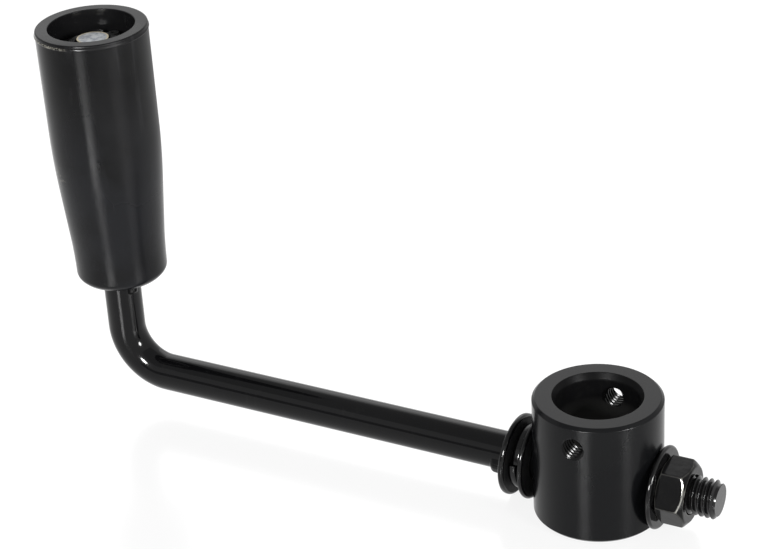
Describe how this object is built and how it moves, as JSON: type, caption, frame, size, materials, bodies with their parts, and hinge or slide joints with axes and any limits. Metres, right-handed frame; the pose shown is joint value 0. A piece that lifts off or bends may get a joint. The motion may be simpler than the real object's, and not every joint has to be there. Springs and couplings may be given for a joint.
{
  "type": "crank handle",
  "caption": "Bent-rod crank handle with a bored hub collar that locks on a shaft with set screws, a swivelling arm and a free-turning tapered grip.",
  "frame": {"origin": "on the shaft bore's axis, level with the two set screw holes", "axes": "+Z along the shaft bore, out of its mouth; +X along the arm from the grip towards the nut; +Y along the set screw holes"},
  "size_m": [0.2367, 0.0412, 0.1405],
  "materials": {
    "hub_paint": "satin black coating",
    "rod_paint": "glossy black coating",
    "washer_paint": "glossy black coating",
    "spring_paint": "glossy black coating",
    "nut_paint": "glossy black coating",
    "grip_plastic": "semi-gloss black, lightly scuffed",
    "bare_steel": "bare",
    "cap_steel": "black oxide",
    "ring_steel": "dark spring steel"
  },
  "bodies": {
    "hub": {"hub_collar": "hub_paint"},
    "arm": {"crank_arm": "rod_paint", "ear_washer": "washer_paint", "lock_washer": "spring_paint", "hub_washer": "washer_paint", "nut_washer": "washer_paint", "clamp_nut": "nut_paint", "thrust_washer": "bare_steel", "cap_washer": "cap_steel", "retaining_ring": "ring_steel"},
    "grip": {"grip_sleeve": "grip_plastic"}
  },
  "joints": [
    {"name": "arm_swivel", "type": "hinge", "parent": "hub", "child": "arm", "pos_m": [0, 0, -0.0202], "axis": [1, 0, 0], "continuous": true},
    {"name": "grip_spin", "type": "hinge", "parent": "arm", "child": "grip", "pos_m": [-0.1775, 0, 0], "axis": [0, 0, 1], "continuous": true}
  ]
}
